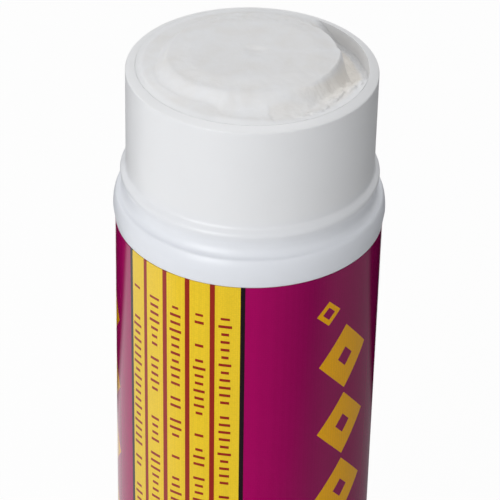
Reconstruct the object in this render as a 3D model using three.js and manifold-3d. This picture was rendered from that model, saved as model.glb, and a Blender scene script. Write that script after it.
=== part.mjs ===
// Large glue stick with its cap off: a white barrel with a printed wrap, a turning knob, a threaded
// spindle, a carrier that climbs the spindle, and the stick of glue cast in the carrier.
// Millimetres, +Z up. The origin is on the axis, in the plane that the knob stands on.
// Angles round the axis are measured from the front, -Y, towards +X.
import * as THREE from "three";
import { mergeVertices } from "three/addons/utils/BufferGeometryUtils.js";
import Module from "manifold-3d";

const wasm = await Module();
wasm.setup();

// Facets
const ROUND_SIDES = 60; // sides of each full circle
const SMALL_SIDES = 32; // sides of the spindle's round parts and of the holes for them
const FILLET_STEPS = 3; // chords in each rounded corner
const THREAD_SIDES = 16; // facets in one turn of the thread
const DEGREE = Math.PI / 180;

// Running and seating gaps
const RUNNING_GAP = 0.3; // between pieces that turn or slide on each other
const SEAT_GAP = 0.25; // between pieces that are pressed or cast together
const OVERRUN = 1; // how far a joined or cutting shape runs past the surface that it meets

// Barrel: one white moulding with a reduced neck for the cap
const BORE_RADIUS = 12.95;
const NECK_WALL = 1.1;
const SHOULDER_STEP = 1.45; // the ledge that the cap's rim lands on
const NECK_HEIGHT = 15.95;
const BODY_HEIGHT = 82.15; // from the foot to the shoulder
const COLLAR_HEIGHT = 3.35; // plain white band between the shoulder and the wrap
const FOOT_BAND_HEIGHT = 2.6; // plain white band between the wrap and the foot
const BAND_TAPER = 0.22; // how much narrower each plain band is where it meets the wrap
const FOOT_ROUNDING = 0.3;
const SHOULDER_ROUNDING = 0.45;
const NECK_ROOT_FILLET = 0.95;
const LIP_OUTER_ROUNDING = 0.25;
const LIP_INNER_ROUNDING = 0.2;
const BEAD_PROJECTION = 0.73; // the ring that the cap snaps over
const BEAD_ROUNDING = 0.7;
const BEAD_UPPER_FLANK = 0.95;
const BEAD_LOWER_FLANK = 1.25;
const BEAD_BELOW_LIP = 13.4;
const SKIRT_WALL = 2.3; // the barrel's wall round the top of the knob
const SKIRT_DEPTH = 4.0;
const FLOOR_THICKNESS = 1.6; // the barrel's inner floor, which carries the spindle
const FLOOR_HOLE_RADIUS = 4.5;

// Ribs in the bore, which keep the carrier and the glue from turning with the spindle
const RIB_COUNT = 4;
const RIB_WIDTH = 1.4;
const RIB_HEIGHT = 0.6;
const RIB_ROOT = 0.4; // how far a rib reaches into the barrel's wall
const RIB_TOP_BELOW_LIP = 15;
const RIB_TAPER = 2.5; // length of the sloping upper end

// Printed wrap, lying in a shallow recess between the two plain bands
const WRAP_RECESS = 0.12;
const WRAP_THICKNESS = 0.1;
const WRAP_GAP = 0.03;
const WRAP_END_GAP = 0.1; // bare recess above and below the wrap
const WRAP_SEAM = 0.7; // bare strip between its two edges, at the back

// Knob at the base, flush with the barrel
const KNOB_HEIGHT = 9.5;
const KNOB_TO_FOOT = 0.4;
const KNOB_WALL = 2.0;
const KNOB_PLATE = 1.6;
const KNOB_EDGE_ROUNDING = 0.5;
const KNOB_INNER_FILLET = 0.6;
const SPIGOT_HEIGHT = 3.2; // the ring that turns inside the barrel's skirt
const SPIGOT_WALL = 1.3;
const HUB_RADIUS = 4.8;
const HUB_ABOVE_FLOOR = 2.6;
const WEB_COUNT = 6;
const WEB_THICKNESS = 1.0;
const WEB_ABOVE_FLOOR = 1.8;
const WEB_RISE = 0.8; // how far a web's lower edge rises towards the hub
const FLUTE_COUNT = 36;
const FLUTE_RADIUS = 0.85;
const FLUTE_DEPTH = 0.45;
const FLUTE_SIDES = 8;
const FLUTE_MARGIN = 1.5; // plain rim above and below the flutes

// Spindle
const THREAD_LEAD = 5.0;
const THREAD_CREST_RADIUS = 3.1;
const THREAD_DEPTH = 0.8;
const THREAD_CREST_WIDTH = 1.2;
const THREAD_FLANK = 0.6; // axial length of one sloping side
const THREAD_GAP = 0.25;
const SPINDLE_TIP_BELOW_LIP = 11;
const SPINDLE_TIP_TAPER = 1.2;
const FLANGE_RADIUS = 6.5;
const FLANGE_THICKNESS = 1.4;
const FLANGE_ROUNDING = 0.3;
const DRIVE_WIDTH = 5.0; // square drive in the knob's hub
const SNAP_OVERHANG = 0.5; // catch below the hub that keeps the spindle in the knob
const SNAP_HEIGHT = 1.2;
const SNAP_LEAD_IN = 0.5; // how much narrower than the drive the catch's end is

// Carrier
const CARRIER_HEIGHT = 9.5;
const CARRIER_WALL = 0.9;
const CARRIER_BASE = 1.4;
const CARRIER_GAP = 0.5; // round the plain part of its wall
const WIPER_GAP = 0.25; // round the lips that wipe the bore
const WIPER_HEIGHT = 0.8;
const NUT_RADIUS = 5.2;
const NUT_HEIGHT = 8.0;
const FIN_COUNT = 8;
const FIN_THICKNESS = 0.9;
const FIN_HEIGHT = 3.5;

// Glue
const GLUE_GAP = 0.2; // between the glue and the bore
const TURNS_OUT = 1; // how far the stick is wound up from its stop
const SKIRT_BELOW_LIP = 0.15; // level of the glue's edge where it is whole
const PLATEAU_RADIUS = 9.75; // the raised middle that the cap's inside shaped
const PLATEAU_FRONT_CUT = 1.15; // how much nearer the axis its edge is at the front
const PLATEAU_ABOVE_LIP = 1.5;
const PLATEAU_CROWN = 0.2;
const PLATEAU_BROW = 3; // width of the band inside the plateau's edge
const PLATEAU_SLOPE = 1.9; // radial width of the sloping side at the back, where it is whole
const PLATEAU_SLOPE_GAIN = 1.4; // how much wider the slope is at the front
const BREAK_DEPTH = 2.6; // below the lip, where the edge has torn away
const BREAK_FROM = 54 * DEGREE;
const BREAK_TO = 172 * DEGREE;
const BREAK_BLEND = 24 * DEGREE;
const BREAK_SLOPE = 0.6; // radial width of the torn, steep side
const BREAK_RAGGEDNESS = 0.22; // how far the torn edge wanders in and out
const BREAK_UNEVENNESS = 0.4; // how far the torn floor rises and falls
const DIMPLE_RADIUS = 1.5; // sink mark over the spindle's tip
const DIMPLE_DEPTH = 0.35;
const BORE_END_ROOM = 0.8; // glue bore past the spindle's tip when fully wound down
const BORE_END_CONE = 1.5; // height of the cone that closes the bore

// Derived radii
const neckRadius = BORE_RADIUS + NECK_WALL;
const barrelRadius = neckRadius + SHOULDER_STEP;
const beadRadius = neckRadius + BEAD_PROJECTION;
const bandRadius = barrelRadius - BAND_TAPER;
const recessRadius = bandRadius - WRAP_RECESS;
const skirtRadius = barrelRadius - SKIRT_WALL;
const spigotRadius = skirtRadius - RUNNING_GAP;
const journalRadius = FLOOR_HOLE_RADIUS - RUNNING_GAP;
const glueRadius = BORE_RADIUS - GLUE_GAP;
const carrierRadius = BORE_RADIUS - CARRIER_GAP;
const cupRadius = carrierRadius - CARRIER_WALL;
const wiperRadius = BORE_RADIUS - WIPER_GAP;

// Derived heights
const footZ = KNOB_HEIGHT + KNOB_TO_FOOT;
const floorBottomZ = footZ + SKIRT_DEPTH;
const floorTopZ = floorBottomZ + FLOOR_THICKNESS;
const shoulderZ = footZ + BODY_HEIGHT;
const lipZ = shoulderZ + NECK_HEIGHT;
const beadZ = lipZ - BEAD_BELOW_LIP;
const wrapBottomZ = footZ + FOOT_BAND_HEIGHT;
const wrapTopZ = shoulderZ - COLLAR_HEIGHT;
const ribTopZ = lipZ - RIB_TOP_BELOW_LIP;
const hubTopZ = floorBottomZ - RUNNING_GAP;
const flangeBottomZ = floorTopZ + RUNNING_GAP;
const flangeTopZ = flangeBottomZ + FLANGE_THICKNESS;
const tipZ = lipZ - SPINDLE_TIP_BELOW_LIP;
const woundOut = TURNS_OUT * THREAD_LEAD;
const carrierZ = flangeTopZ + RUNNING_GAP + woundOut;
const carrierFloorZ = carrierZ + CARRIER_BASE;
const carrierTopZ = carrierZ + CARRIER_HEIGHT;
const notchTopZ = ribTopZ + woundOut + RUNNING_GAP;
const glueBoreTopZ = tipZ + woundOut + BORE_END_ROOM;

// Turns a three.js geometry into a manifold solid. Triangles that collapse at an axis are dropped.
function solid(geometry) {
  const bare = new THREE.BufferGeometry();
  bare.setAttribute("position", geometry.getAttribute("position"));
  bare.setIndex(geometry.index);
  const merged = mergeVertices(bare, 1e-4);
  const index = merged.index.array;
  const kept = [];
  for (let i = 0; i < index.length; i += 3) {
    const [a, b, c] = [index[i], index[i + 1], index[i + 2]];
    if (a !== b && b !== c && c !== a) kept.push(a, b, c);
  }
  return new wasm.Manifold(
    new wasm.Mesh({
      numProp: 3,
      vertProperties: merged.attributes.position.array,
      triVerts: new Uint32Array(kept),
    }),
  );
}

// Turns a manifold solid back into a three.js geometry with flat faces.
function geometryOf(made) {
  const mesh = made.getMesh();
  const geometry = new THREE.BufferGeometry();
  geometry.setAttribute("position", new THREE.BufferAttribute(mesh.vertProperties, 3));
  geometry.setIndex(new THREE.BufferAttribute(mesh.triVerts, 1));
  const flat = geometry.toNonIndexed();
  flat.computeVertexNormals();
  return flat;
}

function union(solids) {
  return solids.reduce((joined, next) => joined.add(next));
}

// Points of an outline through corners [x, y, rounding]. A corner with a rounding becomes an arc.
// The rounding takes at most three quarters of the shorter of the two edges that meet there.
function rounded(corners) {
  const points = [];
  corners.forEach(([x, y, rounding = 0], i) => {
    const corner = new THREE.Vector2(x, y);
    const before = new THREE.Vector2(...corners.at(i - 1));
    const after = new THREE.Vector2(...corners[(i + 1) % corners.length]);
    const back = before.sub(corner);
    const on = after.sub(corner);
    const room = Math.min(back.length(), on.length()) * 0.75;
    back.normalize();
    on.normalize();
    const half = Math.acos(THREE.MathUtils.clamp(back.dot(on), -1, 1)) / 2;
    const reach = Math.min(rounding / Math.tan(half), room);
    if (reach < 1e-6) {
      points.push(corner);
      return;
    }
    const start = corner.clone().addScaledVector(back, reach);
    const end = corner.clone().addScaledVector(on, reach);
    const toCentre = back.clone().add(on).normalize();
    const centre = corner.clone().addScaledVector(toCentre, reach / Math.cos(half));
    const first = start.clone().sub(centre);
    const swing = Math.atan2(first.cross(end.clone().sub(centre)), first.dot(end.clone().sub(centre)));
    for (let step = 0; step <= FILLET_STEPS; step++) {
      const turned = first.clone().rotateAround(new THREE.Vector2(), (swing * step) / FILLET_STEPS);
      points.push(turned.add(centre));
    }
  });
  return points;
}

// Solid of revolution about Z. The corners [radius, z, rounding] run up the outside first.
function revolve(corners, sides = ROUND_SIDES) {
  const points = rounded(corners);
  points.push(points[0].clone());
  const geometry = new THREE.LatheGeometry(points, sides);
  geometry.rotateX(Math.PI / 2);
  return solid(geometry);
}

// Upright cylinder from one height to another.
function cylinder(radius, bottomZ, topZ, sides = ROUND_SIDES) {
  const geometry = new THREE.CylinderGeometry(radius, radius, topZ - bottomZ, sides);
  geometry.rotateX(Math.PI / 2);
  geometry.translate(0, 0, (topZ + bottomZ) / 2);
  return solid(geometry);
}

// Upright square bar from one height to another.
function squareBar(width, bottomZ, topZ) {
  const geometry = new THREE.BoxGeometry(width, width, topZ - bottomZ);
  geometry.translate(0, 0, (topZ + bottomZ) / 2);
  return solid(geometry);
}

// Copies a geometry round the axis and returns them as solids.
function ring(geometry, count, firstAngle = 0) {
  return Array.from({ length: count }, (_, i) =>
    solid(geometry.clone().rotateZ(firstAngle + (i * 2 * Math.PI) / count)),
  );
}

// A flat outline in the plane of radius and height, thickened sideways and centred on the front.
function radialPlate(corners, thickness) {
  const shape = new THREE.Shape(corners.map(([r, z]) => new THREE.Vector2(r, z)));
  const geometry = new THREE.ExtrudeGeometry(shape, { depth: thickness, bevelEnabled: false });
  geometry.translate(0, 0, -thickness / 2);
  geometry.rotateX(Math.PI / 2);
  geometry.rotateZ(-Math.PI / 2);
  return geometry;
}

// Left-hand trapezoidal thread between two heights, with its core. gap grows it on every side.
// Its rows of points follow the helix, so the edges of the thread are crisp.
function thread(bottomZ, topZ, gap) {
  const crest = THREAD_CREST_RADIUS + gap;
  const root = crest - THREAD_DEPTH;
  const halfCrest = THREAD_CREST_WIDTH / 2 + gap;
  const section = [
    [root, -halfCrest - THREAD_FLANK],
    [crest, -halfCrest],
    [crest, halfCrest],
    [root, halfCrest + THREAD_FLANK],
  ];
  const firstTurn = Math.floor(bottomZ / THREAD_LEAD) - 1;
  const lastTurn = Math.ceil(topZ / THREAD_LEAD) + 1;
  const rows = (lastTurn - firstTurn) * section.length;
  const positions = [];
  const triangles = [];
  const at = (side, row) =>
    side < THREAD_SIDES ? side * rows + row : row + section.length;
  for (let side = 0; side < THREAD_SIDES; side++) {
    const angle = (side * 2 * Math.PI) / THREAD_SIDES;
    for (let row = 0; row < rows; row++) {
      const [radius, offset] = section[row % section.length];
      const turn = firstTurn + Math.floor(row / section.length) + side / THREAD_SIDES;
      positions.push(-radius * Math.sin(angle), -radius * Math.cos(angle), turn * THREAD_LEAD + offset);
    }
  }
  const bottom = positions.length / 3;
  positions.push(0, 0, (firstTurn - 1) * THREAD_LEAD);
  const top = bottom + 1;
  positions.push(0, 0, (lastTurn + 1) * THREAD_LEAD);
  for (let side = 0; side < THREAD_SIDES; side++) {
    const last = side === THREAD_SIDES - 1;
    const stop = last ? rows - section.length - 1 : rows - 1;
    for (let row = 0; row < stop; row++) {
      const [a, b, c, d] = [at(side, row), at(side + 1, row), at(side + 1, row + 1), at(side, row + 1)];
      triangles.push(a, c, b, a, d, c);
    }
    triangles.push(bottom, at(side, 0), at(side + 1, 0));
    if (!last) triangles.push(top, at(side + 1, rows - 1), at(side, rows - 1));
  }
  for (let row = 0; row < section.length; row++) {
    triangles.push(bottom, at(0, row + 1), at(0, row));
    const high = rows - 1 - row;
    triangles.push(top, at(THREAD_SIDES - 1, high - 1), at(THREAD_SIDES - 1, high));
  }
  triangles.push(top, at(0, rows - 1), at(THREAD_SIDES - 1, rows - 1 - section.length));
  const geometry = new THREE.BufferGeometry();
  geometry.setAttribute("position", new THREE.Float32BufferAttribute(positions, 3));
  geometry.setIndex(triangles);
  return solid(geometry).intersect(cylinder(crest + 1, bottomZ, topZ, THREAD_SIDES));
}

// The ribs in the bore, grown by gap on the sides that a sliding piece meets.
function boreRibs(gap, topZ) {
  const inner = BORE_RADIUS - RIB_HEIGHT - gap;
  const outer = BORE_RADIUS + RIB_ROOT;
  const bottomZ = floorTopZ - RIB_ROOT;
  const corners = [
    [outer, bottomZ],
    [outer, topZ],
    [inner, topZ - RIB_TAPER],
    [inner, bottomZ],
  ];
  return ring(radialPlate(corners, RIB_WIDTH + 2 * gap), RIB_COUNT, Math.PI / RIB_COUNT);
}

function barrel() {
  const shell = revolve([
    [barrelRadius, footZ, FOOT_ROUNDING],
    [bandRadius, wrapBottomZ],
    [recessRadius, wrapBottomZ],
    [recessRadius, wrapTopZ],
    [bandRadius, wrapTopZ],
    [barrelRadius, shoulderZ, SHOULDER_ROUNDING],
    [neckRadius, shoulderZ, NECK_ROOT_FILLET],
    [neckRadius, beadZ - BEAD_LOWER_FLANK],
    [beadRadius, beadZ, BEAD_ROUNDING],
    [neckRadius, beadZ + BEAD_UPPER_FLANK],
    [neckRadius, lipZ, LIP_OUTER_ROUNDING],
    [BORE_RADIUS, lipZ, LIP_INNER_ROUNDING],
    [BORE_RADIUS, floorTopZ],
    [FLOOR_HOLE_RADIUS, floorTopZ],
    [FLOOR_HOLE_RADIUS, floorBottomZ],
    [skirtRadius, floorBottomZ],
    [skirtRadius, footZ],
  ]);
  return union([shell, ...boreRibs(0, ribTopZ)]);
}

// The wrap is a strip rolled round the barrel, so it is an open ring with a seam at the back.
function wrap() {
  const inner = recessRadius + WRAP_GAP;
  const halfSeam = WRAP_SEAM / 2 / inner;
  const angles = [halfSeam - Math.PI];
  for (let side = 1 - ROUND_SIDES / 2; side < ROUND_SIDES / 2; side++) {
    angles.push((side * 2 * Math.PI) / ROUND_SIDES);
  }
  angles.push(Math.PI - halfSeam);
  const at = (radius) => (angle) =>
    new THREE.Vector2(radius * Math.sin(angle), -radius * Math.cos(angle));
  const outside = angles.map(at(inner + WRAP_THICKNESS));
  const inside = angles.map(at(inner)).reverse();
  const strip = new THREE.ExtrudeGeometry(new THREE.Shape([...outside, ...inside]), {
    depth: wrapTopZ - wrapBottomZ - 2 * WRAP_END_GAP,
    bevelEnabled: false,
  });
  strip.translate(0, 0, wrapBottomZ + WRAP_END_GAP);
  return solid(strip);
}

// A plate with a fluted rim, a ring that turns in the barrel's skirt, and a hub on six webs.
function knob() {
  const plateZ = KNOB_HEIGHT - KNOB_PLATE;
  const spigotTopZ = KNOB_HEIGHT + SPIGOT_HEIGHT;
  const innerRadius = barrelRadius - KNOB_WALL;
  const shell = revolve([
    [0, HUB_ABOVE_FLOOR],
    [HUB_RADIUS, HUB_ABOVE_FLOOR],
    [HUB_RADIUS, plateZ],
    [innerRadius, plateZ, KNOB_INNER_FILLET],
    [innerRadius, 0],
    [barrelRadius, 0, KNOB_EDGE_ROUNDING],
    [barrelRadius, KNOB_HEIGHT, KNOB_EDGE_ROUNDING],
    [spigotRadius, KNOB_HEIGHT],
    [spigotRadius, spigotTopZ],
    [spigotRadius - SPIGOT_WALL, spigotTopZ],
    [spigotRadius - SPIGOT_WALL, KNOB_HEIGHT],
    [HUB_RADIUS, KNOB_HEIGHT],
    [HUB_RADIUS, hubTopZ],
    [0, hubTopZ],
  ]);
  const rim = innerRadius + KNOB_WALL / 2;
  const core = HUB_RADIUS - OVERRUN;
  const intoPlate = plateZ + KNOB_PLATE / 2;
  const web = radialPlate(
    [
      [core, WEB_ABOVE_FLOOR + WEB_RISE],
      [rim, WEB_ABOVE_FLOOR],
      [rim, intoPlate],
      [core, intoPlate],
    ],
    WEB_THICKNESS,
  );
  const fluteLength = KNOB_HEIGHT - 2 * FLUTE_MARGIN;
  const flute = new THREE.CylinderGeometry(FLUTE_RADIUS, FLUTE_RADIUS, fluteLength, FLUTE_SIDES);
  flute.rotateX(Math.PI / 2);
  flute.translate(0, FLUTE_DEPTH - barrelRadius - FLUTE_RADIUS, KNOB_HEIGHT / 2);
  const socket = squareBar(DRIVE_WIDTH + 2 * SEAT_GAP, 0, hubTopZ + OVERRUN);
  return union([shell, ...ring(web, WEB_COUNT)])
    .subtract(union(ring(flute, FLUTE_COUNT, Math.PI / FLUTE_COUNT)))
    .subtract(socket);
}

// A screw that carries on down through the barrel's floor as a journal and a square drive.
function spindle() {
  const roomy = THREAD_CREST_RADIUS + OVERRUN;
  const endCorners = [
    [0, flangeBottomZ],
    [roomy, flangeBottomZ],
    [roomy, tipZ - SPINDLE_TIP_TAPER - OVERRUN],
    [THREAD_CREST_RADIUS - SPINDLE_TIP_TAPER, tipZ],
    [0, tipZ],
  ];
  const screw = thread(flangeBottomZ + FLANGE_THICKNESS / 2, tipZ, 0);
  const shoulderBottomZ = hubTopZ + SEAT_GAP;
  const flangeCorners = [
    [0, shoulderBottomZ],
    [journalRadius, shoulderBottomZ],
    [journalRadius, flangeBottomZ],
    [FLANGE_RADIUS, flangeBottomZ],
    [FLANGE_RADIUS, flangeTopZ, FLANGE_ROUNDING],
    [0, flangeTopZ],
  ];
  const catchTopZ = HUB_ABOVE_FLOOR - SEAT_GAP;
  const driveEnd = squareBar(DRIVE_WIDTH, catchTopZ - SNAP_HEIGHT / 2, flangeBottomZ);
  const snap = new THREE.CylinderGeometry(
    (DRIVE_WIDTH + 2 * SNAP_OVERHANG) / Math.SQRT2,
    (DRIVE_WIDTH - 2 * SNAP_LEAD_IN) / Math.SQRT2,
    SNAP_HEIGHT,
    4,
  );
  snap.rotateX(Math.PI / 2);
  snap.rotateZ(Math.PI / 4);
  snap.translate(0, 0, catchTopZ - SNAP_HEIGHT / 2);
  return screw
    .intersect(revolve(endCorners, THREAD_SIDES))
    .add(revolve(flangeCorners, SMALL_SIDES))
    .add(driveEnd)
    .add(solid(snap));
}

// The carrier's nut and the fins that key it to the glue, grown by gap where glue is cast on them.
function carrierCore(gap) {
  const bottomZ = carrierZ + CARRIER_BASE / 2;
  const nut = cylinder(NUT_RADIUS + gap, bottomZ, carrierZ + NUT_HEIGHT + gap, SMALL_SIDES);
  const inner = NUT_RADIUS - OVERRUN;
  const outer = cupRadius + CARRIER_WALL / 2;
  const topZ = carrierFloorZ + FIN_HEIGHT + gap;
  const fin = radialPlate(
    [
      [inner, bottomZ],
      [outer, bottomZ],
      [outer, topZ],
      [inner, topZ],
    ],
    FIN_THICKNESS + 2 * gap,
  );
  return union([nut, ...ring(fin, FIN_COUNT)]);
}

// A cup that slides in the bore on two wiping lips, with the nut in its middle.
function carrier() {
  const cup = revolve([
    [0, carrierZ],
    [wiperRadius, carrierZ],
    [wiperRadius, carrierZ + WIPER_HEIGHT],
    [carrierRadius, carrierZ + 2 * WIPER_HEIGHT],
    [carrierRadius, carrierTopZ - 2 * WIPER_HEIGHT],
    [wiperRadius, carrierTopZ - WIPER_HEIGHT],
    [wiperRadius, carrierTopZ],
    [cupRadius, carrierTopZ],
    [cupRadius, carrierFloorZ],
    [0, carrierFloorZ],
  ]);
  return cup
    .add(carrierCore(0))
    .subtract(union(boreRibs(RUNNING_GAP, lipZ)))
    .subtract(thread(carrierZ - OVERRUN, carrierZ + NUT_HEIGHT + OVERRUN, THREAD_GAP));
}

// How far the glue's edge is torn away at an angle, from 0 where it is whole to 1.
function tornAt(angle) {
  const begins = THREE.MathUtils.smoothstep(angle, BREAK_FROM, BREAK_FROM + BREAK_BLEND);
  const ends = THREE.MathUtils.smoothstep(angle, BREAK_TO - BREAK_BLEND, BREAK_TO);
  return begins * (1 - ends);
}

// How near an angle is to the front, from 0 at the back to 1, falling off quickly.
function frontness(angle) {
  return ((1 + Math.cos(angle)) / 2) ** 3;
}

// Radius of the raised middle's edge: cut back at the front, and ragged where it is torn.
function plateauEdge(angle) {
  const ragged = BREAK_RAGGEDNESS * tornAt(angle) * Math.sin(11 * angle) * Math.sin(4 * angle);
  return PLATEAU_RADIUS - PLATEAU_FRONT_CUT * frontness(angle) + ragged;
}

// Height of the glue's top over the lip, at a share from 0 at the plateau's edge to 1 at its foot.
function sideHeight(angle, share) {
  const torn = tornAt(angle);
  const floor = -BREAK_DEPTH + BREAK_UNEVENNESS * Math.sin(7 * angle);
  const foot = THREE.MathUtils.lerp(-SKIRT_BELOW_LIP, floor, torn);
  return THREE.MathUtils.lerp(PLATEAU_ABOVE_LIP, foot, share);
}

// The glue's formed top over its plain column: a crowned plateau with a sink mark in the middle,
// and a sloping side that is torn away on the right.
function glueTop(angle) {
  const edge = plateauEdge(angle);
  const slope = PLATEAU_SLOPE + PLATEAU_SLOPE_GAIN * frontness(angle);
  const width = THREE.MathUtils.lerp(slope, BREAK_SLOPE, tornAt(angle));
  const crownZ = lipZ + PLATEAU_ABOVE_LIP + PLATEAU_CROWN;
  return [
    [DIMPLE_RADIUS / 2, crownZ - DIMPLE_DEPTH * 0.7],
    [DIMPLE_RADIUS, crownZ],
    [edge - PLATEAU_BROW, crownZ],
    [edge, lipZ + sideHeight(angle, 0)],
    [edge + width / 3, lipZ + sideHeight(angle, 0.2)],
    [edge + (width * 2) / 3, lipZ + sideHeight(angle, 0.8)],
    [edge + width, lipZ + sideHeight(angle, 1)],
    [glueRadius, lipZ + sideHeight(angle, 1)],
  ];
}

// The column of glue above the carrier, closed round its formed top.
function glueBlock() {
  const baseZ = carrierTopZ + SEAT_GAP;
  const positions = [0, 0, lipZ + PLATEAU_ABOVE_LIP + PLATEAU_CROWN - DIMPLE_DEPTH, 0, 0, baseZ];
  const triangles = [];
  const rows = glueTop(0).length + 1;
  const at = (side, row) => 2 + (side % ROUND_SIDES) * rows + row;
  for (let side = 0; side < ROUND_SIDES; side++) {
    const angle = (side * 2 * Math.PI) / ROUND_SIDES;
    for (const [radius, z] of [...glueTop(angle), [glueRadius, baseZ]]) {
      positions.push(radius * Math.sin(angle), -radius * Math.cos(angle), z);
    }
    triangles.push(0, at(side, 0), at(side + 1, 0));
    for (let row = 0; row < rows - 1; row++) {
      triangles.push(at(side, row), at(side, row + 1), at(side + 1, row + 1));
      triangles.push(at(side, row), at(side + 1, row + 1), at(side + 1, row));
    }
    triangles.push(1, at(side + 1, rows - 1), at(side, rows - 1));
  }
  const geometry = new THREE.BufferGeometry();
  geometry.setAttribute("position", new THREE.Float32BufferAttribute(positions, 3));
  geometry.setIndex(triangles);
  return solid(geometry);
}

// The glue is cast round the spindle and in the carrier, so it holds the hollow shape of both.
function glue() {
  const boreRadius = THREAD_CREST_RADIUS + THREAD_GAP;
  const boreCorners = [
    [0, carrierZ],
    [boreRadius, carrierZ],
    [boreRadius, glueBoreTopZ],
    [0, glueBoreTopZ + BORE_END_CONE],
  ];
  const plug = cylinder(cupRadius - SEAT_GAP, carrierFloorZ + SEAT_GAP, carrierTopZ + OVERRUN);
  return glueBlock()
    .add(plug)
    .subtract(carrierCore(SEAT_GAP))
    .subtract(union(boreRibs(RUNNING_GAP, notchTopZ)))
    .subtract(revolve(boreCorners, SMALL_SIDES));
}

// Materials, in the colours that the photograph shows
const whitePlastic = new THREE.MeshStandardMaterial({ color: "#e9ebed", roughness: 0.38, metalness: 0 });
const printedFilm = new THREE.MeshStandardMaterial({ color: "#a30a60", roughness: 0.3, metalness: 0 });
const plainPlastic = new THREE.MeshStandardMaterial({ color: "#dfe1e0", roughness: 0.45, metalness: 0 });
const setGlue = new THREE.MeshStandardMaterial({ color: "#e8e8e4", roughness: 0.5, metalness: 0 });

function piece(name, made, material) {
  const mesh = new THREE.Mesh(geometryOf(made), material);
  mesh.name = name;
  return mesh;
}

const glueStick = new THREE.Group();
glueStick.name = "glue_stick";
glueStick.add(
  piece("barrel", barrel(), whitePlastic),
  piece("label_wrap", wrap(), printedFilm),
  piece("turning_knob", knob(), whitePlastic),
  piece("threaded_spindle", spindle(), plainPlastic),
  piece("carrier", carrier(), plainPlastic),
  piece("glue_column", glue(), setGlue),
);

export default glueStick;
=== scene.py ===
"""Dressed scene of a large twist-up glue stick with its cap off, seen from above its open end.

Sizes are in millimetres in the fields of each class and turned to metres when a mesh is made. The
frame is the part's own: +Z up the axis, the stick stands on Z = 0, and the camera looks from -Y.
Angles round the axis are in degrees, measured from the front, -Y, towards +X.
"""

import logging
import math
from contextlib import contextmanager
from dataclasses import dataclass
from enum import Enum
from functools import partial
from typing import Callable, Iterator, NamedTuple, Sequence

import bmesh
import bpy
from mathutils import Matrix, Vector, noise


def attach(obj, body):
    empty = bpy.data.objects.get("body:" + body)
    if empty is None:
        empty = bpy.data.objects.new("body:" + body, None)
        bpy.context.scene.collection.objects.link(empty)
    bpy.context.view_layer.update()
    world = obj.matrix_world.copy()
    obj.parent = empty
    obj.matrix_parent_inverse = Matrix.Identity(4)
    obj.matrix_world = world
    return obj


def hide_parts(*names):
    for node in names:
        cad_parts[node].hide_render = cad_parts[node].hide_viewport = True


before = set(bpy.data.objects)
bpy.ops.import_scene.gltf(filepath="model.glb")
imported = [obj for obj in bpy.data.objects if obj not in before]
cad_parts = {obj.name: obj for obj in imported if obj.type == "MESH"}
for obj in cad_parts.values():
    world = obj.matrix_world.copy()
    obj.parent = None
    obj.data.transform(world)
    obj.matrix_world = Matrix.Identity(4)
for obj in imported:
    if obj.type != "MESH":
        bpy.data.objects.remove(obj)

MM = 0.001
FULL_TURN = 2 * math.pi
MERGE_DISTANCE = 0.001 * MM
CRISP_ANGLE = 32  # degrees at which an edge of a moulded piece stays crisp
CORNER_CHORDS = 5  # chords in a rounded corner
OVERRUN = 1.0  # millimetres by which a cutter stands out of what it cuts
REACHED = 0.01  # millimetres within which a height counts as reached
COLOUR_A, COLOUR_B, COLOUR_RESULT = 6, 7, 2  # a colour mix node's inputs and output
BARE = (0.0, 0.0, 0.0, 0.0)

Piece = bpy.types.Object
Material = bpy.types.Material
Socket = bpy.types.NodeSocket
Adder = Callable[..., Socket]  # add_node, bound to one node tree
Span = tuple[float, float]  # where something begins and where it is complete
Line = tuple[Span, ...]  # places, mostly angles from -180 to 180, each with its value
Waves = tuple[Span, ...]  # heights of chance relief, each with its scale

log = logging.getLogger("glue_stick")


class Corner(NamedTuple):
    """One corner of a turned outline: radius, height and rounding, in millimetres."""

    radius: float
    height: float
    rounding: float = 0.0


class Body(Enum):
    """The moving bodies that the pieces ride on."""

    BARREL = "barrel"
    KNOB = "knob"
    LIFT = "lift"


def hex_to_linear(text: str) -> tuple[float, float, float, float]:
    """Turns a colour written as sRGB hex into linear values.

    Args:
        text: Six hex digits after a hash.

    Returns:
        Linear red, green and blue, and an alpha of 1.
    """
    shares = [int(text[i : i + 2], 16) / 255 for i in (1, 3, 5)]
    linear = [s / 12.92 if s <= 0.04045 else ((s + 0.055) / 1.055) ** 2.4 for s in shares]
    return (linear[0], linear[1], linear[2], 1.0)


def add_node(
    tree: bpy.types.NodeTree, kind: str, values: dict, output: str | int = 0
) -> Socket | None:
    """Adds one shader node with its settings and the links into it.

    Args:
        tree: Node tree of a material or the world.
        kind: Type of the node, without the prefix that all shader nodes share.
        values: Settings by property name, and by name or number of an input either its value or
            the socket that feeds it.
        output: Name or number of the wanted output.

    Returns:
        That output, or None where the node has none.
    """
    node = tree.nodes.new("ShaderNode" + kind)
    for key, value in values.items():
        if isinstance(value, Socket):
            tree.links.new(value, node.inputs[key])
        elif isinstance(key, str) and hasattr(node, key) and key not in node.inputs:
            setattr(node, key, value)
        else:
            node.inputs[key].default_value = value
    return node.outputs[output] if node.outputs else None


def clear_selection() -> None:
    """Deselects every object, so that an operator acts on the next piece alone."""
    bpy.ops.object.select_all(action="DESELECT")


def take(*objects: Piece) -> None:
    """Selects the given objects alone and makes the first one active.

    Args:
        objects: The objects to select.
    """
    clear_selection()
    for one in objects:
        one.select_set(True)
    bpy.context.view_layer.objects.active = objects[0]


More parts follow.
